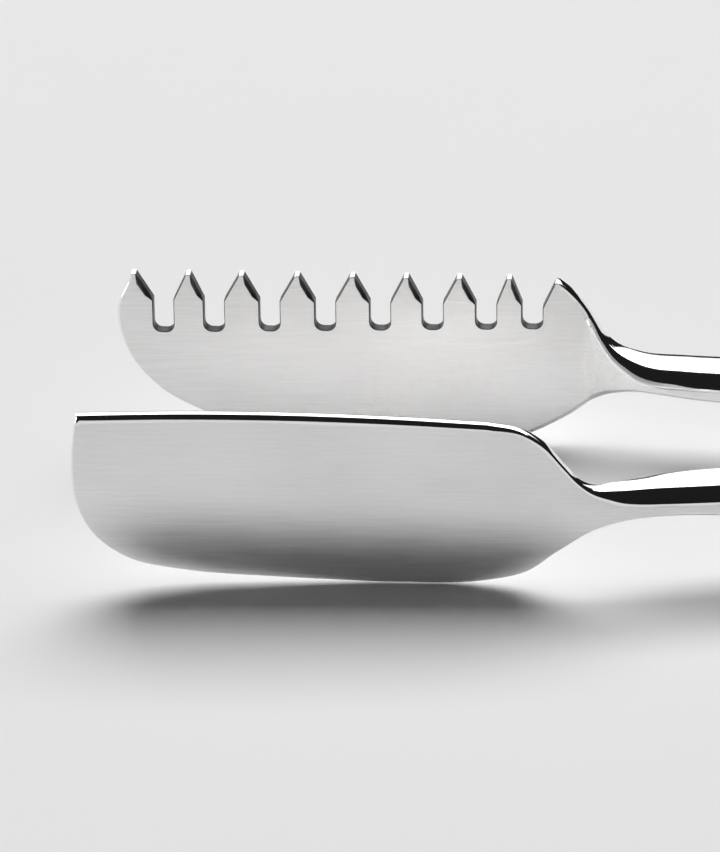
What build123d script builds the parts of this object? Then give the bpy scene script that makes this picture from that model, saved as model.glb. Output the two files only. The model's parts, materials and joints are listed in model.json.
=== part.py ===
from build123d import *
import math
import os

os.makedirs("parts", exist_ok=True)

# Ice tongs lying on their side, in millimetres.
# Two steel arms turn about a pin at the butt, and a torsion spring in the knuckle holds them open.
# One arm ends in a scoop blade, the other in a flat comb of nine teeth.
#
# The tongs have a frame of their own: X runs from the jaws' tips to the butt, Y across the opening
# from the scoop to the comb, and Z along the hinge pin, with Z = 0 at the handles' mid height.
# lying puts that frame on the table. The jaws are deeper than the knuckle, and the scoop is deeper
# than the comb, so the tongs rest on the scoop's lip, the comb's belly and the pin's lower end.

# ---------------------------------------------------------------- driving dimensions
HINGE_X = 193.0  # jaw tips to hinge pin
JAW_GAP = 39.1  # between the jaws' inner faces, open
PLATE = 1.7  # thickness of both jaws
CURL_R = 22.0  # outer radius of the scoop's curl
CURL_START = 0.75  # height at which the curl begins
CURL_TURN = 50.0  # degrees, past the lip, which the outline cuts
BLANK_START = -1.0  # the curled blank, from which the blade's outline is cut
BLANK_END = 67.0
BLANK_TOP = 14.0
BLANK_INSIDE = 8.0  # nearest that the cut comes to the middle of the tongs
JAW_END = [(66.5, 0.8), (66.5, -1.7), (64.6, -2.3)]  # end of both plates, inside the handles

SLOT_X = (5.6, 11.9, 18.8, 25.7, 32.5, 39.0, 45.6, 51.3)  # sawn by hand, so not evenly spaced
SLOT_W = 2.55
SLOT_CORNER = 1.0
FIRST_TIP_X = 1.95
LAST_TIP_X = 54.4
TIP_Z = 9.65  # tip height at X = 0, and its rise towards the neck
TIP_RISE = 0.016
TIP_FLAT = 0.5
TOOTH_SLOPE_H = 3.5  # height of a tooth's two slopes
SLOT_Z = 1.8  # slot floor at X = 0, and its rise towards the neck
SLOT_RISE = 0.04

SLIM_X = 77.0  # where a handle is slimmest
SLIM_OUTER = 19.25
SLIM_W = 6.3
SLIM_HALF = 2.0
SLIM_ROUND_TOP = 1.85
SLIM_ROUND_LOW = 0.5
SCOOP_HANG = 0.2  # how far each handle's underside hangs below the slim half height
COMB_HANG = 0.75
BUTT_X = 191.5
BUTT_OUTER = 7.14
BUTT_INNER = 0.18
BUTT_HALF = 6.7
BUTT_ROUND_TOP = 2.35
BUTT_ROUND_LOW = 2.0
CROWN_DROP = 0.15  # a handle's top lies this much nearer its middle than its underside
SWELL_POWER = 1.8  # a handle thickens slowly at first and faster towards the butt
GRIP_STATIONS = 7

KNUCKLE_R = 7.5
KNUCKLE_TOP = 6.9  # half height of the fork
EAR_INNER = 3.9  # half height of the gap between the fork's ears
TONGUE_TOP = 3.5  # half height of the tongue
RIM_EASE = 0.8
SWEEP = 0.4  # room around what turns in the knuckle
PIN_R = 2.0
RUNNING = 0.05  # radial room of the running fits
BUSH_R = 3.0
HEAD_R = 3.6
HEAD_H = 1.4
DOME_R = (HEAD_R**2 + HEAD_H**2) / (2 * HEAD_H)
STUB_R = 1.3
WASHER_T = 0.3
CAVITY_R = 4.6
STOP_R = 0.8
STOP_ORBIT = 5.6  # from the hinge pin
STOP_DEPTH = 2.7  # depth of the stop's groove in the tongue
STOP_ANGLE = 270.0  # the stop stands on the scoop's side
STOP_TRAVEL = 13.0  # degrees of groove, a little more than the arms close

SPRING_WIRE_R = 0.4
SPRING_R = 3.3
SPRING_PITCH = 0.9
SPRING_H = 2.475
SPRING_Z = 0.55
SPRING_HOLE_R = 0.5
SPRING_LEG_H = 3.0  # from the coil's top into the upper ear
SPRING_HOLE_H = 2.4  # depth of the hole in the upper ear
NOTCH_L = 6.2  # from the hinge pin to the notch's end

PAST = 1.0  # cuts reach this far past what they cut

# The tongs' frame in the part's frame: butt low, comb side low
PITCH = 1.984
ROLL = -1.831
LIE_X = -100.32
LIE_Y = -0.13
LIE_Z = 15.031

INNER = JAW_GAP / 2
OUTER = INNER + PLATE
lying = Location((LIE_X, LIE_Y, LIE_Z), (ROLL, PITCH, 0))


# ---------------------------------------------------------------- planes in the tongs' frame
def tongs_plane(origin, x_dir=(1, 0, 0), z_dir=(0, 0, 1)):
    return Plane(lying * Plane(origin=origin, x_dir=x_dir, z_dir=z_dir).location)


def side_plane(y):
    """Sketch x is X and sketch y is Z, and extruding goes towards -Y."""
    return tongs_plane((0, y, 0), (1, 0, 0), (0, -1, 0))


def cross_plane(x):
    """Sketch x is Y and sketch y is Z, and extruding goes towards the butt."""
    return tongs_plane((x, 0, 0), (0, 1, 0), (1, 0, 0))


def hinge_plane(z):
    """Square to the hinge pin, with the pin at the sketch's origin."""
    return tongs_plane((HINGE_X, 0, z))


def ring(z, outer_r, height, inner_r=0.0):
    """A disc or ring about the hinge pin, from height z upwards."""
    with BuildSketch(hinge_plane(z)) as profile:
        Circle(outer_r)
        if inner_r > 0:
            Circle(inner_r, mode=Mode.SUBTRACT)
    extrude(profile.sketch, amount=height)


def bore(z, radius, depth, x=0.0, y=0.0):
    """A round hole from height z upwards, placed from the hinge pin."""
    with BuildSketch(hinge_plane(z)) as profile:
        with Locations((x, y)):
            Circle(radius)
    extrude(profile.sketch, amount=depth, mode=Mode.SUBTRACT)


def turned(radius_heights, up):
    """A piece turned about the hinge pin: stepped corners, then a domed head at the last height."""
    head_z = radius_heights[-1][1]
    crown = (0, head_z + up * HEAD_H)
    half_way = math.sqrt(DOME_R**2 - HEAD_R**2 / 4) - DOME_R + HEAD_H
    shoulder = (HEAD_R / 2, head_z + up * half_way)
    with BuildSketch(tongs_plane((HINGE_X, 0, 0), (1, 0, 0), (0, -1, 0))) as profile:
        with BuildLine():
            Polyline(crown, *radius_heights)
            ThreePointArc(radius_heights[-1], shoulder, crown)
        make_face()
    revolve(profile.sketch, axis=Axis(hinge_plane(0).origin, hinge_plane(0).z_dir))


# ---------------------------------------------------------------- handles
# Stations of the neck: x, outer y, inner y, top z, bottom z, upper rounding, lower rounding.
# The first lies inside the jaw's plate, and the handle ramps inwards from it.
NECK = [
    (57.6, 21.0, 20.1, 1.1, -3.4, 0.35, 0.3),
    (60.0, 20.95, 18.9, 1.3, -3.3, 0.8, 0.35),
    (62.2, 20.8, 17.2, 1.45, -2.95, 1.3, 0.4),
    (64.8, 20.55, 15.5, 1.6, -2.55, 1.7, 0.45),
    (68.5, 20.12, 14.2, 1.7, -2.2, 1.8, 0.45),
]


def grip(hang):
    """Evenly spaced stations from the slim end to the butt, where the handle is as tall as the fork."""
    stations = []
    for i in range(GRIP_STATIONS):
        t = i / (GRIP_STATIONS - 1)
        x = SLIM_X + t * (BUTT_X - SLIM_X)
        outer = SLIM_OUTER + t * (BUTT_OUTER - SLIM_OUTER)
        slim_inner = SLIM_OUTER - SLIM_W
        inner = slim_inner + t * (BUTT_INNER - slim_inner)
        half = SLIM_HALF + (BUTT_HALF - SLIM_HALF) * t**SWELL_POWER
        bottom = -half - hang * (1 - t)
        round_top = SLIM_ROUND_TOP + t * (BUTT_ROUND_TOP - SLIM_ROUND_TOP)
        round_low = SLIM_ROUND_LOW + t * (BUTT_ROUND_LOW - SLIM_ROUND_LOW)
        stations.append((x, outer, inner, half - CROWN_DROP, bottom, round_top, round_low))
    return stations


def handle(side, hang):
    """A loaf-shaped bar on one side of the tongs: flat sides, a round top and eased lower edges."""
    sections = []
    for x, outer, inner, top, bottom, round_top, round_low in NECK + grip(hang):
        low, high = sorted((side * outer, side * inner))
        with BuildSketch(cross_plane(x)) as section:
            with BuildLine():
                Polyline((low, top), (low, bottom), (high, bottom), (high, top), close=True)
            make_face()
            fillet(vertices().sort_by(Axis.Y)[2:], round_top)
            fillet(vertices().sort_by(Axis.Y)[:2], round_low)
        sections.append(section.sketch)
    loft(sections)


# ---------------------------------------------------------------- scoop arm
with BuildPart() as scoop_blade:
    with BuildSketch(cross_plane(BLANK_START)):
        with BuildLine():
            outer_flat = Line((-OUTER, BLANK_TOP), (-OUTER, CURL_START))
            outer_curl = CenterArc((CURL_R - OUTER, CURL_START), CURL_R, 180, CURL_TURN)
            inner_curl = CenterArc((CURL_R - OUTER, CURL_START), CURL_R - PLATE, 180, CURL_TURN)
            Line(outer_curl @ 1, inner_curl @ 1)
            inner_flat = Line(inner_curl @ 0, (-INNER, BLANK_TOP))
            Line(inner_flat @ 1, outer_flat @ 0)
        make_face()
    extrude(amount=BLANK_END - BLANK_START)
    with BuildSketch(side_plane(-BLANK_INSIDE)):
        with BuildLine():
            top = ThreePointArc((0.6, 9.25), (26, 10.1), (49, 9.65))
            shoulder = Spline(top @ 1, (53.2, 9.1), (56.2, 7.6), (58.8, 4.7), (61.0, 2.2), (64, 1.0))
            neck_end = Polyline(shoulder @ 1, *JAW_END)
            belly = Spline(neck_end @ 1, (61.0, -3.9), (57.4, -7.2), (53, -11.3), (47.5, -13.3), (36, -14.2))
            toe = Spline(belly @ 1, (23, -13.75), (12.5, -12.9), (6.2, -11.0), (2.3, -7.1), (0.1, 0), top @ 0)
        make_face()
    extrude(amount=OUTER, mode=Mode.INTERSECT)

with BuildPart() as scoop_arm:
    handle(-1, SCOOP_HANG)
    add(scoop_blade.part)
    ring(-KNUCKLE_TOP, KNUCKLE_R, 2 * KNUCKLE_TOP)
    ears = edges().filter_by(GeomType.CIRCLE).filter_by(lambda e: abs(e.radius - KNUCKLE_R) < 0.01)
    fillet(ears, RIM_EASE)
    bore(-EAR_INNER, KNUCKLE_R + SWEEP, 2 * EAR_INNER)
    bore(-KNUCKLE_TOP - PAST, PIN_R, 2 * (KNUCKLE_TOP + PAST))
    bore(-KNUCKLE_TOP - PAST, STOP_R, KNUCKLE_TOP, 0, -STOP_ORBIT)
    bore(EAR_INNER - PAST, SPRING_HOLE_R, SPRING_HOLE_H + PAST, 0, -SPRING_R)

# ---------------------------------------------------------------- comb arm
tips = [FIRST_TIP_X] + [(a + b) / 2 for a, b in zip(SLOT_X, SLOT_X[1:])] + [LAST_TIP_X]


def tip_z(x):
    return TIP_Z + TIP_RISE * x


with BuildPart() as comb_plate:
    with BuildSketch(side_plane(OUTER)):
        with BuildLine():
            ridge = Line((FIRST_TIP_X - TIP_FLAT / 2, tip_z(0)), (LAST_TIP_X, tip_z(LAST_TIP_X)))
            shoulder = Spline(ridge @ 1, (56.7, 8.6), (58.9, 5.4), (60.4, 2.7), (64, 1.0))
            neck_end = Polyline(shoulder @ 1, *JAW_END)
            belly = Spline(neck_end @ 1, (61.0, -3.9), (55.9, -7.8), (49.5, -11.1), (36, -12.7))
            toe = Spline(belly @ 1, (22, -11.8), (10.6, -8.8), (4.9, -5.6), (1.3, -1.2), (0, 5.2), ridge @ 0)
        make_face()
    extrude(amount=PLATE)
    with BuildSketch(side_plane(OUTER + PAST)):
        for slot_x, tip_a, tip_b in zip(SLOT_X, tips, tips[1:]):
            left = slot_x - SLOT_W / 2
            right = slot_x + SLOT_W / 2
            floor = SLOT_Z + SLOT_RISE * slot_x
            top_a = tip_z(tip_a)
            top_b = tip_z(tip_b)
            with BuildSketch(mode=Mode.PRIVATE) as gap:
                with BuildLine():
                    Polyline(
                        (tip_a + TIP_FLAT / 2, top_a + PAST),
                        (tip_a + TIP_FLAT / 2, top_a),
                        (left, top_a - TOOTH_SLOPE_H),
                        (left, floor),
                        (right, floor),
                        (right, top_b - TOOTH_SLOPE_H),
                        (tip_b - TIP_FLAT / 2, top_b),
                        (tip_b - TIP_FLAT / 2, top_b + PAST),
                        close=True,
                    )
                make_face()
                fillet(vertices().sort_by(Axis.Y)[:2], SLOT_CORNER)
            add(gap.sketch)
    extrude(amount=PLATE + 2 * PAST, mode=Mode.SUBTRACT)

with BuildPart() as comb_arm:
    handle(1, COMB_HANG)
    bore(TONGUE_TOP, KNUCKLE_R + SWEEP, KNUCKLE_TOP)
    bore(-TONGUE_TOP - KNUCKLE_TOP, KNUCKLE_R + SWEEP, KNUCKLE_TOP)
    add(comb_plate.part)
    ring(-TONGUE_TOP, KNUCKLE_R, 2 * TONGUE_TOP)
    bore(-TONGUE_TOP - PAST, BUSH_R, 2 * (TONGUE_TOP + PAST))
    bore(0, CAVITY_R, TONGUE_TOP + PAST)
    # Groove that runs past the stop pin as the arms close
    with BuildSketch(hinge_plane(-TONGUE_TOP - PAST)) as groove:
        with BuildLine() as groove_line:
            CenterArc((0, 0), STOP_ORBIT, STOP_ANGLE, -STOP_TRAVEL)
        trace(groove_line.line, 2 * (STOP_R + RUNNING))
        for end in (groove_line.line @ 0, groove_line.line @ 1):
            with Locations(end):
                Circle(STOP_R + RUNNING)
    extrude(groove.sketch, amount=STOP_DEPTH + PAST, mode=Mode.SUBTRACT)
    # Notch in the cavity's wall for the spring's lower leg
    with BuildSketch(hinge_plane(0)) as notch:
        with Locations((NOTCH_L / 2, 0)):
            Rectangle(NOTCH_L, 2 * SPRING_HOLE_R)
    extrude(notch.sketch, amount=2 * SPRING_Z, mode=Mode.SUBTRACT)

# ---------------------------------------------------------------- hinge
with BuildPart() as hinge_pin:
    stub_end = -KNUCKLE_TOP - HEAD_H
    turned(
        [
            (0, stub_end),
            (STUB_R, stub_end),
            (STUB_R, -KNUCKLE_TOP),
            (PIN_R, -KNUCKLE_TOP),
            (PIN_R, KNUCKLE_TOP),
            (HEAD_R, KNUCKLE_TOP),
        ],
        1,
    )

with BuildPart() as pin_collar:
    turned([(0, -KNUCKLE_TOP), (HEAD_R, -KNUCKLE_TOP)], -1)
    bore(-KNUCKLE_TOP - 2 * HEAD_H, STUB_R, 2 * HEAD_H)

with BuildPart() as hinge_bush:
    ring(-TONGUE_TOP, BUSH_R, TONGUE_TOP, PIN_R + RUNNING)

with BuildPart() as upper_washer:
    ring(TONGUE_TOP + RUNNING, KNUCKLE_R - SWEEP, WASHER_T, CAVITY_R)

with BuildPart() as lower_washer:
    ring(-TONGUE_TOP - RUNNING - WASHER_T, CAVITY_R, WASHER_T, PIN_R + RUNNING)

with BuildPart() as stop_pin:
    with BuildSketch(hinge_plane(-KNUCKLE_TOP)) as stop_round:
        with Locations((0, -STOP_ORBIT)):
            Circle(STOP_R)
    extrude(stop_round.sketch, amount=KNUCKLE_TOP - TONGUE_TOP + STOP_DEPTH - 2 * RUNNING)

# The coil winds up from a leg that lies in the tongue's notch to a leg in the upper ear's hole.
with BuildPart() as torsion_spring:
    with BuildLine() as coil:
        Helix(SPRING_PITCH, SPRING_H, SPRING_R, center=(0, 0, SPRING_Z))
    with BuildSketch(Plane(origin=coil.line @ 0, z_dir=coil.line % 0)) as wire:
        Circle(SPRING_WIRE_R)
    sweep(wire.sketch, path=coil.line)
    for bend, direction, length in (
        (coil.line @ 0, (1, 0, 0), NOTCH_L - SPRING_R - SPRING_HOLE_R),
        (coil.line @ 1, (0, 0, 1), SPRING_LEG_H),
    ):
        with Locations(bend):
            Sphere(SPRING_WIRE_R)
        with BuildSketch(Plane(origin=bend, z_dir=direction)) as leg:
            Circle(SPRING_WIRE_R)
        extrude(leg.sketch, amount=length)
spring_place = hinge_plane(0).location

# ---------------------------------------------------------------- pieces
scoop_arm.part.label = "scoop_arm"
export_step(scoop_arm.part, "parts/scoop_arm.step")
comb_arm.part.label = "comb_arm"
export_step(comb_arm.part, "parts/comb_arm.step")
hinge_pin.part.label = "hinge_pin"
export_step(hinge_pin.part, "parts/hinge_pin.step")
pin_collar.part.label = "pin_collar"
export_step(pin_collar.part, "parts/pin_collar.step")
hinge_bush.part.label = "hinge_bush"
export_step(hinge_bush.part, "parts/hinge_bush.step")
upper_washer.part.label = "upper_washer"
export_step(upper_washer.part, "parts/upper_washer.step")
lower_washer.part.label = "lower_washer"
export_step(lower_washer.part, "parts/lower_washer.step")
stop_pin.part.label = "stop_pin"
export_step(stop_pin.part, "parts/stop_pin.step")
placed_spring = torsion_spring.part.moved(spring_place)
placed_spring.label = "torsion_spring"
export_step(placed_spring, "parts/torsion_spring.step")
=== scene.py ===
import json
import math

import bmesh
import bpy
import numpy as np
from mathutils import Matrix, Vector


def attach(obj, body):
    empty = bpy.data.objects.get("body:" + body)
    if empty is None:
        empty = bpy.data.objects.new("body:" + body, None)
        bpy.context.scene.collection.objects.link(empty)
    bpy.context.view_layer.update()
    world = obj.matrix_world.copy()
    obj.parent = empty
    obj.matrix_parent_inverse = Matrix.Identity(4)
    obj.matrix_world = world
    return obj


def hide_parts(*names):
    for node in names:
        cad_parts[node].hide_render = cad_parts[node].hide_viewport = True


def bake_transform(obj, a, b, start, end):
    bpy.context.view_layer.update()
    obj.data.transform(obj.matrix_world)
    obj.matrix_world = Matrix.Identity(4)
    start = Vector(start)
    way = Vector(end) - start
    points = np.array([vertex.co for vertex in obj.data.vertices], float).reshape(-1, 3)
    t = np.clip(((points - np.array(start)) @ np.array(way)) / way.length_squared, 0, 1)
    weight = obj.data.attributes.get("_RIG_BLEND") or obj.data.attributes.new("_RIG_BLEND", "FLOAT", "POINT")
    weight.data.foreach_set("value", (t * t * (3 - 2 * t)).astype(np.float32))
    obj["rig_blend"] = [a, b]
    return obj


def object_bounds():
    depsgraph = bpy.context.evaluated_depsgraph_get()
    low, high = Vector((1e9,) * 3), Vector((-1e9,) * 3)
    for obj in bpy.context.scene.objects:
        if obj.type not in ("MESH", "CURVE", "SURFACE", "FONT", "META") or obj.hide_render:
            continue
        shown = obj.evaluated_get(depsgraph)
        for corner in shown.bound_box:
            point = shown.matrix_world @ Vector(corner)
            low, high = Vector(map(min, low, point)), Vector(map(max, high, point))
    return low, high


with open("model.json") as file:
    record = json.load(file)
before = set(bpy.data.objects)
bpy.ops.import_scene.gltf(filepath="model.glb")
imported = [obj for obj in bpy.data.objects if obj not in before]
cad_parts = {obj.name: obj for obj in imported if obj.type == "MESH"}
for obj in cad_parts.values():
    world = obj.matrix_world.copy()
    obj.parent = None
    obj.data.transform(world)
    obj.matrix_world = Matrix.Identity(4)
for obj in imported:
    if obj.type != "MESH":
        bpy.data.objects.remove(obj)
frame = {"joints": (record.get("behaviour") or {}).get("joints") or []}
cad_lo, cad_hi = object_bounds()

# Ice tongs lying on their side. Every piece is modelled in the tongs' own frame, in millimetres:
# X from the jaws' tips to the butt, Y across the opening from scoop to comb, Z along the hinge pin.
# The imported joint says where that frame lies, and TONGS takes a point from it to the row frame.

MM = 0.001
SCOOP, COMB = -1, 1  # an arm's side of the opening, along Y

# ---------------------------------------------------------------- driving dimensions, millimetres
HINGE_X = 193.0
INNER = 19.55  # a jaw's inner face, from the middle plane
PLATE = 1.7
OUTER = INNER + PLATE
CURL_R = 22.0
CURL_START = 0.75  # height below which the scoop curls
CURL_FADE = (56, 67)  # where the curl runs out into the handle
BEND_X = 58.7  # where a handle starts to lean inwards
BEND_SOFT = 2.0
BEND_SLOPE = 0.1058
SWELL = ((77, 2.0), (190, 6.6))  # half height of a handle at its slim end and at the butt
SWELL_POWER = 1.8
LOW_SAG = {SCOOP: (0.2, 0.0), COMB: (0.75, 0.0)}  # at the handle's slim end and at the butt
TOP_SAG = {SCOOP: (0.35, 0.15), COMB: (0.65, 0.15)}
TOP_RUN, UNDER_RUN = (80, 189), (78.5, 189)  # where a handle's outline follows its swelling
HANDLE_STEP = 3.0
BUTT_X = 194.0
BUTT_CORNER = 2.9

SLOT_X = (5.6, 11.9, 18.8, 25.7, 32.5, 39.0, 45.6, 51.3)
SLOT_W = 2.55
SLOT_CORNER = 1.0
SLOT_Z = 1.8
SLOT_RISE = 0.04
FIRST_TIP_X = 1.95
LAST_TIP_X = 54.4
LAST_TIP_DROP = 0.45
TIP_Z = 9.65
TIP_RISE = 0.016
TIP_FLAT = 0.5
TOOTH_SLOPE_H = 3.5
# Shares of a tooth's two slopes where its edge changes: down from a tip, and up to the next one.
TOOTH_DOWN = ((0.06, "sawn"), (0.3, "facet"), (0.75, "facet"), (1.0, "sawn"))
TOOTH_UP = (0.0, 0.94)

KNUCKLE_R = 7.5
KNUCKLE_TOP = 6.9
EAR_INNER = 3.9
TONGUE_TOP = 3.5
RIM_EASE = 0.8
TONGUE_EASE = 0.25
SWEEP = 0.4
SWEEP_R = KNUCKLE_R + SWEEP + 0.01
SWEEP_EASE = 0.1
PIN_R = 2.0
PIN_EASE = 0.08
RUNNING = 0.05
BUSH_R = 3.0
HEAD_R = 3.6
HEAD_H = 1.4
HEAD_RIM = 0.12
STUB_R = 1.3
STUB_SHORT = 0.05  # how far the pin's riveted end stays inside its collar's crown
COLLAR_DIP = 0.1
WASHER_T = 0.3
WASHER_EASE = 0.06
CAVITY_R = 4.6
STOP_R = 0.8
STOP_ORBIT = 5.6
STOP_DEPTH = 2.7
STOP_ANGLE = 270.0
STOP_TRAVEL = 13.0
SPRING_WIRE_R = 0.4
SPRING_R = 3.3
SPRING_Z = 0.55
SPRING_H = 2.475
SPRING_TURNS = 2.75
NOTCH_L = 6.2
NOTCH_SPARE = 0.5  # from the lower leg's end to the notch's
LEG_BENDS = ((1.2, 0.0), (0.5, 0.02))  # the lower leg's last points, from the coil's start
LEG_RISES = (0.35, 0.9, 1.8, 3.0)  # the upper leg's points, above the coil's end
SPRING_HOLE_R = 0.5
SPRING_HOLE_H = 2.4
EASE = 0.12  # softening of small machined corners

# ---------------------------------------------------------------- how finely things are drawn
TOP_STEP, CURVE_STEP, TOE_STEP = 2.0, 0.6, 0.7
BUTT_STEPS = 6
SLOT_STEPS = 5
GROOVE_STEPS = 12
RIM_STEPS = 7
EASE_STEPS = 3
MOST_CUT = 0.45  # share of a side that one rounded corner may take
DOME_STEPS = 12
COLLAR_POINTS = 10  # the dome's points that lie on the collar
ROUND, SMALL_ROUND, WIRE_ROUND = 96, 32, 16
TURN_POINTS = 36
ROOT_STEPS = 12
PROBE = 0.01
JAW_END = 69.5
# Lines across and along the arms' faces, where place() bends them.
COLUMNS = [56.5 + i for i in range(14)] + [72 + 4 * i for i in range(30)]
ROWS = {SCOOP: [CURL_START - i for i in range(17)], COMB: [-4, -2, 0, 1]}
SLICE_NEAR = 1e-5
ON_AXIS = 1e-6
PAST = 1.0  # how far a cutting shape runs past what it cuts
WELD = 0.0005
SMOOTH_ANGLE = 38.0
SQUARE = 0.9999  # cosine of the most that a flat face may lean
FLAT_WEIGHT = 100


# ---------------------------------------------------------------- the tongs' frame
def tongs_matrix():
    hinge = frame["joints"][0]
    z = Vector(hinge["axis"]).normalized()
    y = Vector((0, z.z, -z.y)).normalized()
    x = y.cross(z)
    turn = Matrix((x, y, z)).transposed().to_4x4()
    origin = Vector(hinge["pos_m"]) - x * HINGE_X * MM
    return Matrix.Translation(origin) @ turn @ Matrix.Scale(MM, 4)


TONGS = tongs_matrix()


def to_row(x, y, z):
    return TONGS @ Vector((x, y, z))


# ---------------------------------------------------------------- curves and blends
def smooth_line(points, step):
    """Points about step apart on a smooth curve through the given ones."""
    p = np.array(points, float)
    run = np.linalg.norm(np.diff(p, axis=0), axis=1)
    travelled = np.concatenate(([0], np.cumsum(run)))
    slope = np.gradient(p, travelled, axis=0)
    line = []
    for i, length in enumerate(run):
        count = max(2, round(length / step))
        for k in range(count):
            f = k / count
            line.append(
                p[i] * (1 + 2 * f) * (1 - f) ** 2
                + p[i + 1] * (3 - 2 * f) * f**2
                + slope[i] * length * f * (1 - f) ** 2
                - slope[i + 1] * length * (1 - f) * f**2
            )
    line.append(p[-1])
    return [tuple(q) for q in line]


def arc(centre, radius, start, end, count):
    """Points on an arc, angles in degrees."""
    turn = [math.radians(start + (end - start) * i / count) for i in range(count + 1)]
    return [(centre[0] + radius * math.cos(a), centre[1] + radius * math.sin(a)) for a in turn]


def along(x, stations):
    """A value that changes smoothly with x between (x, value) stations, without overshoot."""
    xs = [s[0] for s in stations]
    vs = [s[1] for s in stations]
    if x <= xs[0]:
        return vs[0]
    if x >= xs[-1]:
        return vs[-1]
    slopes = [(b - a) / (q - p) for a, b, p, q in zip(vs, vs[1:], xs, xs[1:])]
    ends = [slopes[0]]
    for a, b in zip(slopes, slopes[1:]):
        ends.append(2 * a * b / (a + b) if a * b > 0 else 0.0)
    ends.append(slopes[-1])
    i = max(k for k in range(len(xs) - 1) if xs[k] <= x)
    width = xs[i + 1] - xs[i]
    f = (x - xs[i]) / width
    return (
        vs[i] * (1 + 2 * f) * (1 - f) ** 2
        + vs[i + 1] * (3 - 2 * f) * f**2
        + ends[i] * width * f * (1 - f) ** 2
        - ends[i + 1] * width * (1 - f) * f**2
    )


def step_between(x, start, end):
    """0 up to start, 1 from end on, and smooth between them."""
    f = min(max((x - start) / (end - start), 0.0), 1.0)
    return f * f * (3 - 2 * f)


# ---------------------------------------------------------------- an arm's shape
# An arm is drawn as a flat pattern: x along it, s up it, and t from its outer face to its inner one.
# place() then leans the handle inwards, thickens it, and curls the scoop.
BUTT_RUN = ((77, 12.95), (190, 0.35), (194, -0.1))
INNER_RUN = {
    SCOOP: (
        (59.6, INNER), (61, 19.05), (64.3, 16.95), (67.4, 15.6), (69.9, 14.45), (72.5, 13.7),
        *BUTT_RUN,
    ),
    COMB: ((58.3, INNER), (59.4, 18.8), (62.2, 16.9), (64.8, 15.4), (68.5, 14.2), *BUTT_RUN),
}


def outer_y(x):
    past = x - BEND_X
    return OUTER - BEND_SLOPE * (past + math.sqrt(past * past + BEND_SOFT**2)) / 2


def thickness(side, x):
    return outer_y(x) - along(x, INNER_RUN[side])


def handle_half(x):
    (slim_x, slim), (wide_x, wide) = SWELL
    f = max((x - slim_x) / (wide_x - slim_x), 0.0)
    return slim + (wide - slim) * min(f, 1.0) ** SWELL_POWER


def sag(x, drops):
    return along(x, [(at, drop) for (at, _), drop in zip(SWELL, drops)])


def handle_low(side, x):
    return -handle_half(x) - sag(x, LOW_SAG[side])


def handle_high(side, x):
    return handle_half(x) - sag(x, TOP_SAG[side])


def curl_share(x):
    return 1 - step_between(x, *CURL_FADE)


def lowered(s, x):
    """Height of a point s up the scoop's flat pattern, on its outer face."""
    if s >= CURL_START:
        return s
    bent = CURL_START - CURL_R * math.sin((CURL_START - s) / CURL_R)
    share = curl_share(x)
    return s + (bent - s) * share


def unrolled(x, z):
    """The flat pattern's point for a point of the scoop's seen outline."""
    s = z
    for _ in range(ROOT_STEPS):
        slope = (lowered(s + PROBE, x) - lowered(s - PROBE, x)) / (2 * PROBE)
        s -= (lowered(s, x) - z) / slope
    return x, s


def place(side, x, s, t):
    """A flat pattern point in the tongs' frame; t runs from 0 outside to 1 inside."""
    depth = t * thickness(side, x)
    y = outer_y(x) - depth
    z = s
    if side == SCOOP and s < CURL_START:
        angle = (CURL_START - s) / CURL_R
        share = curl_share(x)
        bent_y = y - (CURL_R - depth) * (1 - math.cos(angle))
        bent_z = CURL_START - (CURL_R - depth) * math.sin(angle)
        y += (bent_y - y) * share
        z += (bent_z - z) * share
    return x, side * y, z


# Easing of an arm's edges by x: how far each rounding reaches down the outer and the inner face,
# and how far it goes into the thickness there.
UNDER_OUTER = ((0, 0.25), (57, 0.3), (68, 0.45), (190, 2.0))
UNDER_INNER = ((0, 0.3), (57, 0.4), (68, 0.5), (190, 2.0))
SCOOP_EDGE = {
    "top": {
        "outer": (
            (0, 0.8), (20, 0.85), (49, 0.75), (54, 0.4), (59, 0.25), (61.5, 0.7),
            (65, 1.6), (69, 1.85), (77, 1.95), (190, 2.4),
        ),
        "outer_in": (
            (0, 0.7), (49, 0.75), (54, 0.4), (59, 0.25), (61.5, 0.6), (65, 1.3), (77, 1.65),
            (190, 2.2),
        ),
        "inner": (
            (0, 0.7), (3, 0.8), (49, 0.8), (54, 0.55), (58, 0.5), (65, 0.5), (77, 0.5),
            (190, 2.0),
        ),
        "inner_in": ((0, 0.7), (49, 0.78), (58, 0.5), (65, 0.5), (77, 0.6), (190, 2.0)),
    },
    "under": {
        "outer": UNDER_OUTER,
        "outer_in": UNDER_OUTER,
        "inner": UNDER_INNER,
        "inner_in": UNDER_INNER,
    },
}
FINE = ((0, 0.12), (60, 0.12))
FINE_EDGE = {"outer": FINE, "outer_in": FINE, "inner": FINE, "inner_in": FINE}
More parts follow.
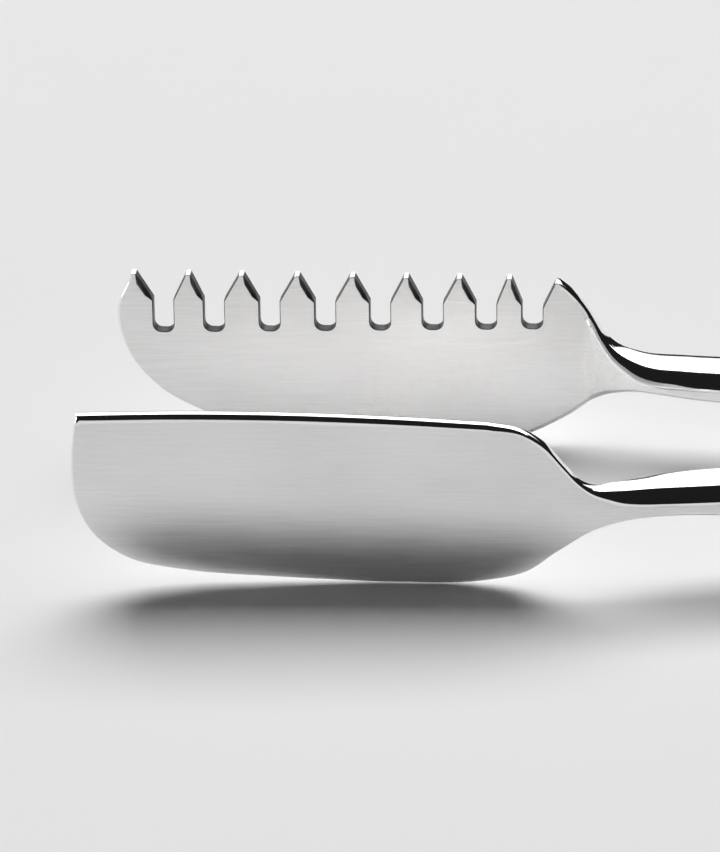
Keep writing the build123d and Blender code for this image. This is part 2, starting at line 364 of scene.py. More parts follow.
COMB_EDGE = {
    "tip": FINE_EDGE,
    "sawn": FINE_EDGE,
    "facet": {
        **FINE_EDGE,
        "inner": ((0, 0.8), (6, 0.5), (60, 0.5)),
        "inner_in": ((0, 0.7), (60, 0.7)),
    },
    "top": {
        "outer": ((54, 0.12), (57, 0.35), (61, 0.6), (65, 0.8), (77, 0.85), (190, 2.0)),
        "outer_in": ((54, 0.12), (57, 0.35), (61, 0.6), (65, 0.8), (77, 0.9), (190, 2.0)),
        "inner": (
            (54, 0.12), (56, 0.3), (58, 0.55), (60, 1.1), (62.5, 1.9), (65, 2.3), (77, 2.5),
            (190, 2.6),
        ),
        "inner_in": (
            (54, 0.12), (56, 0.3), (58, 0.5), (60, 0.9), (62.5, 1.5), (65, 2.0), (77, 2.2),
            (190, 2.2),
        ),
    },
    "under": {
        "outer": UNDER_OUTER,
        "outer_in": UNDER_OUTER,
        "inner": ((0, 0.25), (40, 0.3), (52, 0.7), (59, 0.8), (64, 0.6), (70, 0.5), (190, 2.0)),
        "inner_in": (
            (0, 0.25), (40, 0.3), (52, 0.35), (59, 0.45), (64, 0.5), (70, 0.5), (190, 2.0),
        ),
    },
}
# How far polish passes an edge's rounding.
POLISHED = {"top": 0.15, "tip": 0.0, "sawn": -0.3, "facet": -0.9, "under": -0.12}
POLISH_END = 184.0  # just before the knuckle, which is satin
BEVEL = {SCOOP: 0.5, COMB: 0.2}  # how far a handle's top edges go from round towards a bevel
CROWN = 0.12
HANDLE_EDGE = (60, 68)  # where a jaw's edge turns into a handle's
MARGIN = 0.5  # strip of each face beside its rounding
MITRE_LEAST = 0.3  # keeps a sharp corner's mitre short


def corner_inset(before, here, after):
    """Inward offset per unit of easing at a point of a clockwise outline, mitred."""
    first = Vector((here[0] - before[0], here[1] - before[1])).normalized()
    second = Vector((after[0] - here[0], after[1] - here[1])).normalized()
    normal_a = Vector((first.y, -first.x))
    normal_b = Vector((second.y, -second.x))
    return (normal_a + normal_b) / max(1 + normal_a.dot(normal_b), MITRE_LEAST)


def rim_profile(side, easing, x, kind):
    """Across an edge: (inset, share of the thickness, polish) from the outer face to the inner one."""
    table = easing[kind]
    width = thickness(side, x)
    outer, outer_in = along(x, table["outer"]), along(x, table["outer_in"]) / width
    inner, inner_in = along(x, table["inner"]), along(x, table["inner_in"]) / width
    margin = EASE if kind in ("tip", "sawn", "facet") else MARGIN
    reach = POLISHED[kind]
    on_handle = step_between(x, *HANDLE_EDGE) if kind == "top" else 0.0
    crown = CROWN * on_handle
    power = 1 + BEVEL[side] * on_handle

    def rounding(step, height, depth):
        a = math.pi / 2 * step / RIM_STEPS
        drop = crown + (height - crown) * (1 - math.sin(a) ** power)
        return drop, depth * (1 - max(math.cos(a), 0.0) ** power), reach + height - drop

    points = [(outer + margin, 0.0, reach - margin)]
    points += [rounding(i, outer, outer_in) for i in range(RIM_STEPS + 1)]
    points.append((0.0, (outer_in + 1 - inner_in) / 2, reach + outer))
    for i in range(RIM_STEPS, -1, -1):
        drop, share, polished = rounding(i, inner, inner_in)
        points.append((drop, 1 - share, polished))
    points.append((inner + margin, 1.0, reach - margin))
    return points


def slice_faces(bm, faces, normal, places):
    """Cuts these faces along lines square to normal, in the flat pattern."""
    for at in places:
        edges = {e for f in faces for e in f.edges}
        verts = {v for f in faces for v in f.verts}
        done = bmesh.ops.bisect_plane(
            bm,
            geom=list(faces) + list(edges) + list(verts),
            dist=SLICE_NEAR,
            plane_co=Vector(normal) * at,
            plane_no=Vector(normal),
        )
        faces = [g for g in done["geom"] if isinstance(g, bmesh.types.BMFace)]
    return faces


def build_arm(side, outline, easing):
    """An arm's mesh from its clockwise outline of (x, s, kind): two faces and the edge between them."""
    bm = bmesh.new()
    polish = bm.verts.layers.float.new("polish")
    sawn = bm.verts.layers.float.new("sawn")
    count = len(outline)
    rings = []
    for i, (x, s, kind) in enumerate(outline):
        inset = corner_inset(outline[i - 1], (x, s), outline[(i + 1) % count])
        ring = []
        for drop, t, polished in rim_profile(side, easing, x, kind):
            v = bm.verts.new((x + inset.x * drop, s + inset.y * drop, t))
            v[polish] = polished if x < POLISH_END else -MARGIN
            # The edge between the faces, in the slots and on the tooth slopes, takes the mask for their
            # painted shade.
            v[sawn] = 1.0 if kind in ("sawn", "facet") and 0 < t < 1 else 0.0
            ring.append(v)
        rings.append(ring)
    for a, b in zip(rings, rings[1:] + rings[:1]):
        for k in range(len(a) - 1):
            bm.faces.new((a[k], a[k + 1], b[k + 1], b[k]))
    for end in (0, -1):
        face = bm.faces.new([ring[end] for ring in rings])
        parts = slice_faces(bm, [face], (1, 0, 0), COLUMNS)
        jaw = [f for f in parts if f.calc_center_bounds().x < JAW_END]
        slice_faces(bm, jaw, (0, 1, 0), ROWS[side])
    drawn = {v for ring in rings for v in ring}
    for v in bm.verts:
        if v not in drawn:
            v[polish] = -MARGIN
        x, s, t = v.co
        v.co = Vector(place(side, x, s, t))
    bmesh.ops.recalc_face_normals(bm, faces=bm.faces)
    return bm


# ---------------------------------------------------------------- outlines
def handle_top(side):
    return [(x, handle_high(side, x)) for x in np.arange(*TOP_RUN, HANDLE_STEP)]


def butt(side):
    """The buried end of a handle, from its top to its underside."""
    centre_x = BUTT_X - BUTT_CORNER
    top = handle_high(side, BUTT_X) - BUTT_CORNER
    low = handle_low(side, BUTT_X) + BUTT_CORNER
    upper = arc((centre_x, top), BUTT_CORNER, 90, 0, BUTT_STEPS)
    return upper + arc((centre_x, low), BUTT_CORNER, 0, -90, BUTT_STEPS)


def handle_under(side):
    start, end = UNDER_RUN
    return [(x, handle_low(side, x)) for x in np.arange(end, start, -HANDLE_STEP)]


def labelled(points, kind):
    return [(float(x), float(s), kind) for x, s in points]


def scoop_outline():
    top = [(0.3, 9.25), (13, 9.85), (26, 10.1), (38, 10.0), (49, 9.65)]
    shoulder = [
        (49, 9.65), (52.8, 8.95), (55.5, 7.3), (58.0, 4.4), (59.8, 2.4), (61.5, 1.45),
        (64, 1.25), (70, 1.4), (77, 1.65),
    ]
    belly = [
        (77, -2.2), (71.5, -2.12), (68.3, -2.25), (64.6, -2.85), (61.6, -3.95), (57.4, -7.2),
        (53, -11.3), (47.5, -13.3), (36, -14.2),
    ]
    toe = [
        (36, -14.2), (23, -13.75), (12.5, -12.9), (6.0, -11.0), (2.0, -7.1), (0.0, -2),
        (-0.3, 4), (0.3, 9.25),
    ]
    upper = smooth_line(top, TOP_STEP)[:-1] + smooth_line(shoulder, CURVE_STEP)
    upper += handle_top(SCOOP)
    lower = butt(SCOOP) + handle_under(SCOOP)
    lower += smooth_line(belly, CURVE_STEP)[:-1] + smooth_line(toe, TOE_STEP)[1:-2]
    return labelled([unrolled(*p) for p in upper], "top") + labelled(
        [unrolled(*p) for p in lower], "under"
    )


def tip_z(x):
    return TIP_Z + TIP_RISE * x - (LAST_TIP_DROP if x == LAST_TIP_X else 0.0)


def comb_teeth():
    """The comb's toothed edge: each tooth's flat tip, its slope down, and the slot after it."""
    tips = [FIRST_TIP_X] + [(a + b) / 2 for a, b in zip(SLOT_X, SLOT_X[1:])] + [LAST_TIP_X]
    half = TIP_FLAT / 2
    teeth = []
    for slot_x, tip_a, tip_b in zip(SLOT_X, tips, tips[1:]):
        left, right = slot_x - SLOT_W / 2, slot_x + SLOT_W / 2
        corner_z = SLOT_Z + SLOT_RISE * slot_x + SLOT_CORNER
        down = (left - tip_a - half, -TOOTH_SLOPE_H)
        up = (tip_b - half - right, TOOTH_SLOPE_H)
        teeth.append((tip_a - half, tip_z(tip_a), "tip"))
        teeth.append((tip_a + half, tip_z(tip_a), "tip"))
        for share, kind in TOOTH_DOWN:
            teeth.append((tip_a + half + down[0] * share, tip_z(tip_a) + down[1] * share, kind))
        hollow = arc((left + SLOT_CORNER, corner_z), SLOT_CORNER, 180, 270, SLOT_STEPS)
        hollow += arc((right - SLOT_CORNER, corner_z), SLOT_CORNER, 270, 360, SLOT_STEPS)
        teeth += [(x, s, "sawn") for x, s in hollow]
        for share in TOOTH_UP:
            start_z = tip_z(tip_b) - TOOTH_SLOPE_H
            teeth.append((right + up[0] * share, start_z + up[1] * share, "sawn"))
    teeth.append((LAST_TIP_X - half, tip_z(LAST_TIP_X), "tip"))
    return teeth


def comb_outline():
    shoulder = [
        (54.65, 10.0), (55.6, 9.3), (57.2, 7.75), (58.8, 5.4), (60.2, 3.3), (61.9, 1.9),
        (64.5, 1.2), (70, 1.15), (77, 1.35),
    ]
    belly = [
        (77, -2.75), (71.5, -2.65), (67.5, -2.5), (64.2, -2.75), (61.2, -3.9), (55.9, -7.8),
        (49.5, -11.1), (36, -12.7),
    ]
    toe = [
        (36, -12.7), (22, -11.8), (10.6, -8.8), (4.9, -5.6), (1.3, -1.2), (0, 5.2), (1.5, 9.0),
    ]
    upper = smooth_line(shoulder, CURVE_STEP) + handle_top(COMB)
    lower = butt(COMB) + handle_under(COMB)
    lower += smooth_line(belly, CURVE_STEP)[:-1] + smooth_line(toe, TOE_STEP)[1:]
    return comb_teeth() + labelled(upper, "top") + labelled(lower, "under")


# ---------------------------------------------------------------- turned and cut shapes
def lathe(profile, segments=ROUND, y=0.0):
    """A closed (radius, height) profile turned about the hinge pin, or about a point beside it."""
    bm = bmesh.new()
    rings = []
    for radius, height in profile:
        if radius < ON_AXIS:
            rings.append([bm.verts.new((HINGE_X, y, height))])
            continue
        ring = []
        for i in range(segments):
            a = 2 * math.pi * i / segments
            at = (HINGE_X + radius * math.cos(a), y + radius * math.sin(a), height)
            ring.append(bm.verts.new(at))
        rings.append(ring)
    pairs = list(zip(rings, rings[1:]))
    if profile[0][0] > ON_AXIS:
        pairs.append((rings[-1], rings[0]))
    for a, b in pairs:
        for i in range(segments):
            j = (i + 1) % segments
            if len(a) == 1:
                bm.faces.new((a[0], b[j], b[i]))
            elif len(b) == 1:
                bm.faces.new((a[i], a[j], b[0]))
            else:
                bm.faces.new((a[i], a[j], b[j], b[i]))
    bmesh.ops.recalc_face_normals(bm, faces=bm.faces)
    return bm


def eased(points, radius=EASE):
    """A profile whose corners are rounded, all but the ones on the axis."""
    line = []
    for i, here in enumerate(points):
        if here[0] < ON_AXIS:
            line.append(here)
            continue
        p = Vector(here)
        back = Vector(points[i - 1]) - p
        ahead = Vector(points[(i + 1) % len(points)]) - p
        cut = min(radius, back.length * MOST_CUT, ahead.length * MOST_CUT)
        a, b = p + back.normalized() * cut, p + ahead.normalized() * cut
        for k in range(EASE_STEPS + 1):
            f = k / EASE_STEPS
            line.append(tuple(a * (1 - f) ** 2 + p * 2 * f * (1 - f) + b * f**2))
    return line


def drum(low, high, radius, ease=EASE, segments=ROUND, y=0.0):
    return lathe(eased([(0, low), (radius, low), (radius, high), (0, high)], ease), segments, y)


def block(low, high):
    """A plain box between two corners, placed from the hinge pin."""
    bm = bmesh.new()
    size = [b - a for a, b in zip(low, high)]
    middle = [(a + b) / 2 for a, b in zip(low, high)]
    middle[0] += HINGE_X
    place_at = Matrix.Translation(middle) @ Matrix.Diagonal((*size, 1.0))
    bmesh.ops.create_cube(bm, size=1.0, matrix=place_at)
    return bm


def curved_slot(low, high, orbit, half_width, start, end):
    """A slot with round ends that runs about the hinge pin, angles in degrees."""
    def around(angle):
        a = math.radians(angle)
        return orbit * math.cos(a), orbit * math.sin(a)

    edge = arc((0, 0), orbit + half_width, start, end, GROOVE_STEPS)
    edge += arc(around(end), half_width, end, end - 180, GROOVE_STEPS)[1:-1]
    edge += arc((0, 0), orbit - half_width, end, start, GROOVE_STEPS)
    edge += arc(around(start), half_width, start + 180, start, GROOVE_STEPS)[1:-1]
    bm = bmesh.new()
    bottom = [bm.verts.new((HINGE_X + x, y, low)) for x, y in edge]
    top = [bm.verts.new((HINGE_X + x, y, high)) for x, y in edge]
    bm.faces.new(bottom)
    bm.faces.new(list(reversed(top)))
    count = len(edge)
    for i in range(count):
        j = (i + 1) % count
        bm.faces.new((bottom[j], bottom[i], top[i], top[j]))
    bmesh.ops.recalc_face_normals(bm, faces=bm.faces)
    return bm


def tube(points, radius):
    """A closed round wire along a smooth line of points."""
    bm = bmesh.new()
    path = [Vector(p) for p in points]
    rings = []
    side = None
    for i, p in enumerate(path):
        ahead = (path[min(i + 1, len(path) - 1)] - path[max(i - 1, 0)]).normalized()
        if side is None:
            side = ahead.orthogonal().normalized()
        side = (side - ahead * side.dot(ahead)).normalized()
        up = ahead.cross(side)
        ring = []
        for k in range(WIRE_ROUND):
            a = 2 * math.pi * k / WIRE_ROUND
            ring.append(bm.verts.new(p + (side * math.cos(a) + up * math.sin(a)) * radius))
        rings.append(ring)
    for a, b in zip(rings, rings[1:]):
        for k in range(WIRE_ROUND):
            j = (k + 1) % WIRE_ROUND
            bm.faces.new((a[k], a[j], b[j], b[k]))
    bm.faces.new(list(reversed(rings[0])))
    bm.faces.new(rings[-1])
    bmesh.ops.recalc_face_normals(bm, faces=bm.faces)
    return bm


# ---------------------------------------------------------------- pieces
def mesh_object(name, bm, frame_of=TONGS):
    """A mesh object in the row frame, unless told otherwise, from a bmesh in the tongs' frame."""
    bm.transform(frame_of)
    mesh = bpy.data.meshes.new(name)
    bm.to_mesh(mesh)
    bm.free()
    piece = bpy.data.objects.new(name, mesh)
    bpy.context.scene.collection.objects.link(piece)
    return piece


def carve(piece, bm, operation):
    """Joins a shape to a piece, or cuts it out, for good, both still in millimetres."""
    tool = mesh_object("tool", bm, Matrix())
    cut = piece.modifiers.new("carve", "BOOLEAN")
    cut.operation = operation
    cut.solver = "EXACT"
    cut.object = tool
    bpy.context.view_layer.update()
    evaluated = piece.evaluated_get(bpy.context.evaluated_depsgraph_get())
    mesh = bpy.data.meshes.new_from_object(evaluated)
    piece.modifiers.clear()
    bpy.data.objects.remove(tool)
    bm = bmesh.new()
    bm.from_mesh(mesh)
    bmesh.ops.remove_doubles(bm, verts=bm.verts, dist=WELD)
    bmesh.ops.dissolve_degenerate(bm, edges=bm.edges, dist=WELD)
    bm.to_mesh(mesh)
    bm.free()
    piece.data = mesh


def lay_arm(piece):
    """Brushes the whole knuckle satin, and takes the arm from millimetres to the row frame."""
    bm = bmesh.new()
    bm.from_mesh(piece.data)
    polish, sawn = bm.verts.layers.float["polish"], bm.verts.layers.float["sawn"]
    for v in bm.verts:
        if math.hypot(v.co.x - HINGE_X, v.co.y) < KNUCKLE_R + SWEEP + EASE:
            v[polish] = -MARGIN
            # The knuckle carries none of the painted shade.
            v[sawn] = 0.0
    bm.transform(TONGS)
    bm.to_mesh(piece.data)
    bm.free()


def finish_surface(piece):
    """Smooth shading that keeps corners, and keeps faces square to the pin flat to their edges."""
    mesh = piece.data
    for polygon in mesh.polygons:
        polygon.use_smooth = True
    mesh.set_sharp_from_angle(angle=math.radians(SMOOTH_ANGLE))
    pin = (TONGS.to_3x3() @ Vector((0, 0, 1))).normalized()
    beside = {}
    for polygon in mesh.polygons:
        square = abs(polygon.normal.dot(pin)) > SQUARE
        for key in polygon.edge_keys:
            beside.setdefault(key, set()).add(square)
    for edge in mesh.edges:
        if len(beside.get(edge.key, ())) > 1:
            edge.use_edge_sharp = True
    weigh = piece.modifiers.new("even normals", "WEIGHTED_NORMAL")
    weigh.keep_sharp = True
    weigh.weight = FLAT_WEIGHT


# ---------------------------------------------------------------- materials
EVENLY = (1.0, 1.0, 1.0)
NOISE_SPAN = (0.3, 0.7)  # where nearly all of a noise's values lie


def new_material(name):
    material = bpy.data.materials.new(name)
    material.use_nodes = True
    nodes = material.node_tree.nodes
    return material, nodes, material.node_tree.links, nodes["Principled BSDF"]


def feed(links, value, socket):
    """Links another node's output to a socket, or sets the socket to a plain value."""
    if isinstance(value, bpy.types.NodeSocket):
        links.new(value, socket)
    else:
        socket.default_value = value


def attribute(nodes, name):
    node = nodes.new("ShaderNodeAttribute")
    node.attribute_name = name
    return node.outputs["Fac"]


def stretched_noise(nodes, links, scale, detail, repeats=EVENLY):
    """Noise on the piece's own coordinates, drawn out by a different amount along each axis."""
    place_at = nodes.new("ShaderNodeTexCoord")
    spread = nodes.new("ShaderNodeMapping")
    spread.inputs["Scale"].default_value = repeats
    links.new(place_at.outputs["Object"], spread.inputs["Vector"])
    noise = nodes.new("ShaderNodeTexNoise")
    noise.inputs["Scale"].default_value = scale
    noise.inputs["Detail"].default_value = detail
    links.new(spread.outputs[0], noise.inputs["Vector"])
    return noise.outputs["Fac"]


def ranged(nodes, links, value, to_low, to_high, span=NOISE_SPAN):
    node = nodes.new("ShaderNodeMapRange")
    links.new(value, node.inputs["Value"])
    node.inputs["From Min"].default_value, node.inputs["From Max"].default_value = span
    node.inputs["To Min"].default_value = to_low
    node.inputs["To Max"].default_value = to_high
    return node.outputs["Result"]


def summed(nodes, links, first, second):
    node = nodes.new("ShaderNodeMath")
    node.operation = "ADD"
    links.new(first, node.inputs[0])
    links.new(second, node.inputs[1])
    return node.outputs[0]


def mixed(nodes, links, share, first, second):
    """first where share is 0, second where it is 1; both are numbers or sockets."""
    node = nodes.new("ShaderNodeMix")
    links.new(share, node.inputs["Factor"])
    feed(links, first, node.inputs["A"])
    feed(links, second, node.inputs["B"])
    return node.outputs["Result"]


def mixed_colour(nodes, links, share, first, second):
    """As mixed, for colours, whose sockets share their names with the numbers' ones."""
    node = nodes.new("ShaderNodeMix")
    node.data_type = "RGBA"
    links.new(share, node.inputs[0])
    feed(links, first, node.inputs[6])
    feed(links, second, node.inputs[7])
    return node.outputs[2]


def grey_ramp(nodes, links, value, dark, light):
    node = nodes.new("ShaderNodeValToRGB")
    node.color_ramp.elements[0].color = (*dark, 1)
    node.color_ramp.elements[1].color = (*light, 1)
    links.new(value, node.inputs[0])
    return node.outputs["Color"]


def roughen(nodes, links, shader, height, depth, strength):
    """Bumps a shader's surface by a height, depth in metres."""
    node = nodes.new("ShaderNodeBump")
    node.inputs["Distance"].default_value = depth
    feed(links, strength, node.inputs["Strength"])
    links.new(height, node.inputs["Height"])
    links.new(node.outputs["Normal"], shader.inputs["Normal"])


def arm_steel():
    """Satin stainless steel brushed along the arms, with a hand-polished top edge, and the slots and tooth
    slopes painted nearly black as painted shade.
    """
    material, nodes, links, shader = new_material("arm_steel")
    shader.inputs["Metallic"].default_value = 1.0
    brush = stretched_noise(nodes, links, 4000.0, 3.0, (0.035, 1.0, 1.0))
    cloud = stretched_noise(nodes, links, 90.0, 3.0, (0.5, 1.0, 1.0))
    wander = stretched_noise(nodes, links, 160.0, 1.0, (0.6, 1.0, 1.0))
    edge_shift = ranged(nodes, links, wander, -0.12, 0.12)
    wavy = summed(nodes, links, attribute(nodes, "polish"), edge_shift)
    bright = ranged(nodes, links, wavy, 0.0, 1.0, (-0.03, 0.03))
    brushed = ranged(nodes, links, brush, 0.38, 0.50)
    satin = summed(nodes, links, brushed, ranged(nodes, links, cloud, -0.05, 0.05))
    links.new(mixed(nodes, links, bright, satin, 0.07), shader.inputs["Roughness"])
    tone = grey_ramp(nodes, links, brush, (0.78, 0.775, 0.77), (1.0, 0.995, 0.99))
    # Painted shade: the slots and tooth slopes get a nearly black base colour with lighter streaks, in place
    # of the shade and dark reflections that fall there.
    streaks = stretched_noise(nodes, links, 700.0, 2.0)
    dark = grey_ramp(nodes, links, streaks, (0.01, 0.01, 0.01), (0.16, 0.16, 0.16))
    sawn = ranged(nodes, links, attribute(nodes, "sawn"), 0.0, 1.0, (0.3, 0.7))
    links.new(mixed_colour(nodes, links, sawn, tone, dark), shader.inputs["Base Color"])
    roughen(nodes, links, shader, brush, 0.00002, mixed(nodes, links, bright, 0.5, 0.03))
    return material


def turned_metal(name, dark, light, roughness, rings):
    """Metal with fine turning marks and a little wear."""
    material, nodes, links, shader = new_material(name)
    shader.inputs["Metallic"].default_value = 1.0
    marks = stretched_noise(nodes, links, rings, 4.0)
    cloud = stretched_noise(nodes, links, 400.0, 2.0)
    rough = ranged(nodes, links, marks, roughness - 0.06, roughness + 0.08)
    links.new(rough, shader.inputs["Roughness"])
    links.new(grey_ramp(nodes, links, cloud, dark, light), shader.inputs["Base Color"])
    roughen(nodes, links, shader, marks, 0.00001, 0.3)
    return material


def moulded_plastic():
    material, nodes, links, shader = new_material("washer_plastic")
    grain = stretched_noise(nodes, links, 3000.0, 3.0)
    links.new(ranged(nodes, links, grain, 0.42, 0.6), shader.inputs["Roughness"])
    tone = grey_ramp(nodes, links, grain, (0.62, 0.61, 0.58), (0.72, 0.71, 0.68))
    links.new(tone, shader.inputs["Base Color"])
    roughen(nodes, links, shader, grain, 0.00001, 0.25)
    return material


STEEL = arm_steel()
PIN_STEEL = turned_metal("pin_steel", (0.72, 0.72, 0.73), (0.82, 0.82, 0.83), 0.14, 5000.0)
BRONZE = turned_metal("bush_bronze", (0.62, 0.40, 0.18), (0.74, 0.50, 0.26), 0.28, 3500.0)
SPRING_STEEL = turned_metal("spring_steel", (0.50, 0.50, 0.52), (0.62, 0.62, 0.64), 0.24, 6000.0)
PLASTIC = moulded_plastic()


def dress(piece, material, node, body):
    piece.data.materials.clear()
    piece.data.materials.append(material)
    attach(piece, body)
    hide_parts(node)


# ---------------------------------------------------------------- arms
def scoop_arm():
    piece = mesh_object("scoop_arm_steel", build_arm(SCOOP, scoop_outline(), SCOOP_EDGE), Matrix())
    carve(piece, drum(-KNUCKLE_TOP, KNUCKLE_TOP, KNUCKLE_R, RIM_EASE), "UNION")
    for cutter in (
        drum(-EAR_INNER, EAR_INNER, SWEEP_R, SWEEP_EASE),
        drum(-KNUCKLE_TOP - PAST, KNUCKLE_TOP + PAST, PIN_R),
        drum(-KNUCKLE_TOP - PAST, 0, STOP_R, segments=SMALL_ROUND, y=-STOP_ORBIT),
        drum(
            EAR_INNER - PAST, EAR_INNER + SPRING_HOLE_H, SPRING_HOLE_R,
            segments=SMALL_ROUND, y=-SPRING_R,
        ),
    ):
        carve(piece, cutter, "DIFFERENCE")
    lay_arm(piece)
    finish_surface(piece)
    dress(piece, STEEL, "scoop_arm", "scoop_side")


def comb_arm():
    piece = mesh_object("comb_arm_steel", build_arm(COMB, comb_outline(), COMB_EDGE), Matrix())
    cut_top = KNUCKLE_TOP + 2 * PAST
    carve(piece, drum(TONGUE_TOP, cut_top, SWEEP_R, SWEEP_EASE), "DIFFERENCE")
    carve(piece, drum(-cut_top, -TONGUE_TOP, SWEEP_R, SWEEP_EASE), "DIFFERENCE")
    carve(piece, drum(-TONGUE_TOP, TONGUE_TOP, KNUCKLE_R, TONGUE_EASE), "UNION")
    for cutter in (
        drum(-TONGUE_TOP - PAST, TONGUE_TOP + PAST, BUSH_R),
        drum(0, TONGUE_TOP + PAST, CAVITY_R),
        curved_slot(
            -TONGUE_TOP - PAST, STOP_DEPTH - TONGUE_TOP, STOP_ORBIT, STOP_R + RUNNING,
            STOP_ANGLE, STOP_ANGLE - STOP_TRAVEL,
        ),
        block((0, -SPRING_HOLE_R, 0), (NOTCH_L, SPRING_HOLE_R, 2 * SPRING_Z)),
    ):
        carve(piece, cutter, "DIFFERENCE")
    lay_arm(piece)
    finish_surface(piece)
    dress(piece, STEEL, "comb_arm", "comb_side")


# ---------------------------------------------------------------- hinge
def dome(base, up):
    """The profile of a riveted head, from its rim to its crown."""
    ball = (HEAD_R**2 + HEAD_H**2) / (2 * HEAD_H)
    line = [(HEAD_R, base), (HEAD_R, base + up * HEAD_RIM)]
    for i in range(1, DOME_STEPS + 1):
        r = HEAD_R * (1 - i / DOME_STEPS)
        height = math.sqrt(ball**2 - r**2) - ball + HEAD_H
        line.append((r, base + up * max(height, HEAD_RIM)))
    return line


def pin_profile():
    stub_end = -KNUCKLE_TOP - HEAD_H + STUB_SHORT
    shank = [
        (0, stub_end), (STUB_R, stub_end), (STUB_R, -KNUCKLE_TOP), (PIN_R, -KNUCKLE_TOP),
        (PIN_R, KNUCKLE_TOP),
    ]
    return eased(shank, PIN_EASE)[:-1] + [(PIN_R, KNUCKLE_TOP)] + dome(KNUCKLE_TOP, 1)


def collar_profile():
    crown = dome(-KNUCKLE_TOP, -1)[:COLLAR_POINTS]
    return [(STUB_R, -KNUCKLE_TOP)] + crown + [(STUB_R, crown[-2][1] - COLLAR_DIP)]


def ring(inner_r, outer_r, low, high, ease):
    return lathe(eased([(inner_r, low), (outer_r, low), (outer_r, high), (inner_r, high)], ease))


def hinge_parts():
    bore = PIN_R + RUNNING
    high = TONGUE_TOP + RUNNING
    low = -TONGUE_TOP - RUNNING - WASHER_T
    pin, collar = lathe(pin_profile()), lathe(collar_profile())
    bush = ring(bore, BUSH_R, -TONGUE_TOP, 0, EASE)
    upper = ring(CAVITY_R, KNUCKLE_R - SWEEP, high, high + WASHER_T, WASHER_EASE)
    lower = ring(bore, CAVITY_R, low, low + WASHER_T, WASHER_EASE)
    stop_top = STOP_DEPTH - TONGUE_TOP - 2 * RUNNING
    stop = drum(-KNUCKLE_TOP, stop_top, STOP_R, segments=SMALL_ROUND, y=-STOP_ORBIT)
    for name, bm, material, node, body, slot_name in (
        ("hinge_pin_steel", pin, PIN_STEEL, "hinge_pin", "scoop_side", "pin_steel"),
        ("pin_collar_steel", collar, PIN_STEEL, "pin_collar", "scoop_side", "pin_steel"),
        ("hinge_bush_bronze", bush, BRONZE, "hinge_bush", "comb_side", "bush_bronze"),
        ("upper_washer_plastic", upper, PLASTIC, "upper_washer", "scoop_side", "washer_plastic"),
        ("lower_washer_plastic", lower, PLASTIC, "lower_washer", "scoop_side", "washer_plastic"),
        ("stop_pin_steel", stop, PIN_STEEL, "stop_pin", "scoop_side", "pin_steel"),
    ):
        piece = mesh_object(name, bm)
        finish_surface(piece)
        dress(piece, material, node, body)


def torsion_spring():
    """A coil about the pin, from a leg in the tongue's notch to a leg in the upper ear."""
    coil = []
    steps = int(SPRING_TURNS * TURN_POINTS)
    for i in range(steps + 1):
        f = i / steps
        a = 2 * math.pi * SPRING_TURNS * f
        at = (HINGE_X + SPRING_R * math.cos(a), SPRING_R * math.sin(a), SPRING_Z + SPRING_H * f)
        coil.append(at)
    first, last = coil[0], coil[-1]
    lower_leg = [(HINGE_X + NOTCH_L - NOTCH_SPARE, 0, SPRING_Z)]
    lower_leg += [(first[0] + out, aside, SPRING_Z) for out, aside in LEG_BENDS]
    upper_leg = [(last[0], last[1], last[2] + rise) for rise in LEG_RISES]
    piece = mesh_object("torsion_spring_wire", tube(lower_leg + coil + upper_leg, SPRING_WIRE_R))
    finish_surface(piece)
    piece.data.materials.append(SPRING_STEEL)
    top = to_row(HINGE_X, 0, SPRING_Z + SPRING_H)
    bottom = to_row(HINGE_X, 0, SPRING_Z)
    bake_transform(piece, "scoop_side", "comb_side", start=tuple(top), end=tuple(bottom))
    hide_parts("torsion_spring")


# ---------------------------------------------------------------- stage, light and camera
VIEW_AZIMUTH = 6.9
VIEW_ELEVATION = 26.65
VIEW_ROLL = 3.18
VIEW_DISTANCE = 777.5
VIEW_TARGET = (31.85, 0.08, -0.93)
LENS = 271.9
SENSOR = 36.0
FLOOR_HALF = 3.0
# Name, centre and size in metres, turn in degrees, power, and whether it shows in the steel
# ("gloss") or lights everything else ("diffuse").
LIGHTS = (
    ("sky", (0, 1.60, 3.6), (4.4, 3.4), (-24, 0, 0), 202, "diffuse"),
    ("top_card", (0, 0.80, 1.5), (2.2, 1.5), (0, 0, 0), 28, "gloss"),
    ("back_card", (0, 1.98, 1.12), (2.6, 1.03), (-60, 0, 0), 12.5, "gloss"),
    ("left_card", (-1.3, -0.2, 0.45), (1.4, 0.9), (0, -90, 0), 20, "gloss"),
)
STUDIO_FILL = (0.05, 0.047, 0.05, 1)
STUDIO_IN_STEEL = (0.012, 0.012, 0.012, 1)
STUDIO_BACKDROP = (0.76, 0.76, 0.76, 1)


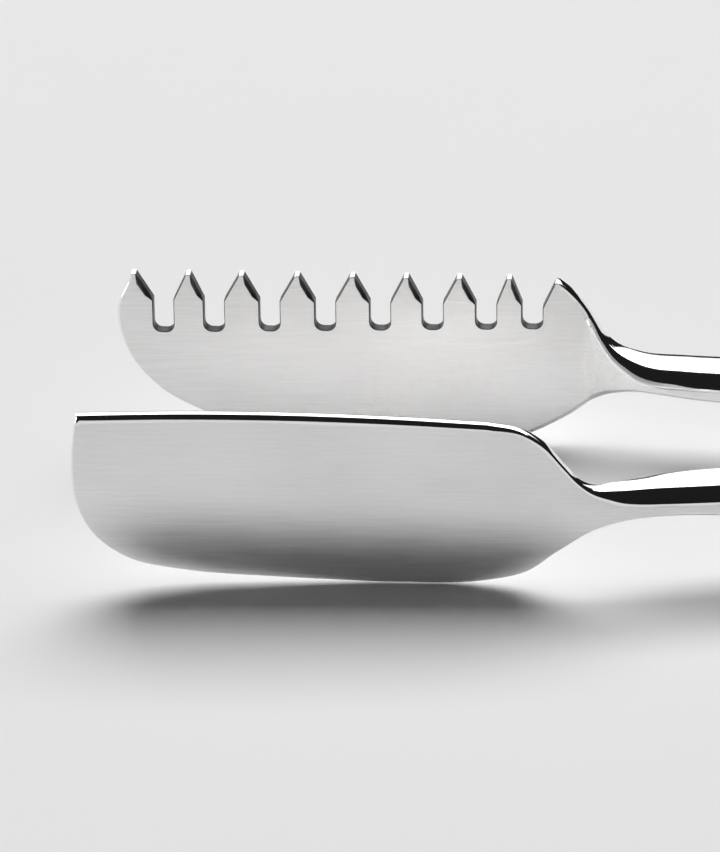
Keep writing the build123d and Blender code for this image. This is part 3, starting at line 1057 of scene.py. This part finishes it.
def floor():
    bm = bmesh.new()
    bmesh.ops.create_grid(bm, x_segments=8, y_segments=8, size=FLOOR_HALF)
    piece = mesh_object("floor", bm, Matrix())
    piece.location.z = cad_lo.z
    material, nodes, links, shader = new_material("pale_paper")
    grain = stretched_noise(nodes, links, 30.0, 2.0)
    tone = grey_ramp(nodes, links, grain, (0.80, 0.80, 0.80), (0.81, 0.81, 0.81))
    links.new(tone, shader.inputs["Base Color"])
    shader.inputs["Roughness"].default_value = 0.9
    shader.inputs["Specular IOR Level"].default_value = 0.1
    piece.data.materials.append(material)


def softbox(name, centre, size, turn, power, lights):
    light = bpy.data.lights.new(name, "AREA")
    light.shape = "RECTANGLE"
    light.size, light.size_y = size
    light.energy = power
    holder = bpy.data.objects.new(name, light)
    holder.location = centre
    holder.rotation_euler = [math.radians(a) for a in turn]
    holder.visible_camera = False
    holder.visible_diffuse = lights == "diffuse"
    holder.visible_glossy = lights == "gloss"
    bpy.context.scene.collection.objects.link(holder)


def surroundings():
    """A dim studio, with a pale backdrop that only the camera sees, where it looks past the floor."""
    world = bpy.data.worlds.new("studio")
    bpy.context.scene.world = world
    world.use_nodes = True
    nodes, links = world.node_tree.nodes, world.node_tree.links
    rays = nodes.new("ShaderNodeLightPath").outputs
    tone = mixed_colour(nodes, links, rays["Is Glossy Ray"], STUDIO_FILL, STUDIO_IN_STEEL)
    tone = mixed_colour(nodes, links, rays["Is Camera Ray"], tone, STUDIO_BACKDROP)
    links.new(tone, nodes["Background"].inputs["Color"])


def camera():
    data = bpy.data.cameras.new("camera")
    data.sensor_width = SENSOR
    data.lens = LENS
    data.clip_start, data.clip_end = 0.01, 20.0
    holder = bpy.data.objects.new("camera", data)
    azimuth, elevation = math.radians(VIEW_AZIMUTH), math.radians(VIEW_ELEVATION)
    level_run = math.cos(elevation)
    back = Vector((
        math.sin(azimuth) * level_run, -math.cos(azimuth) * level_run, math.sin(elevation),
    ))
    level = (-back).to_track_quat("-Z", "Y")
    roll = Matrix.Rotation(math.radians(-VIEW_ROLL), 3, "Z").to_quaternion()
    holder.rotation_mode = "QUATERNION"
    holder.rotation_quaternion = level @ roll
    holder.location = to_row(*VIEW_TARGET) + back * VIEW_DISTANCE * MM
    bpy.context.scene.collection.objects.link(holder)
    bpy.context.scene.camera = holder


scoop_arm()
comb_arm()
hinge_parts()
torsion_spring()
floor()
for light_box in LIGHTS:
    softbox(*light_box)
surroundings()
camera()
bpy.context.scene.view_settings.view_transform = "Standard"
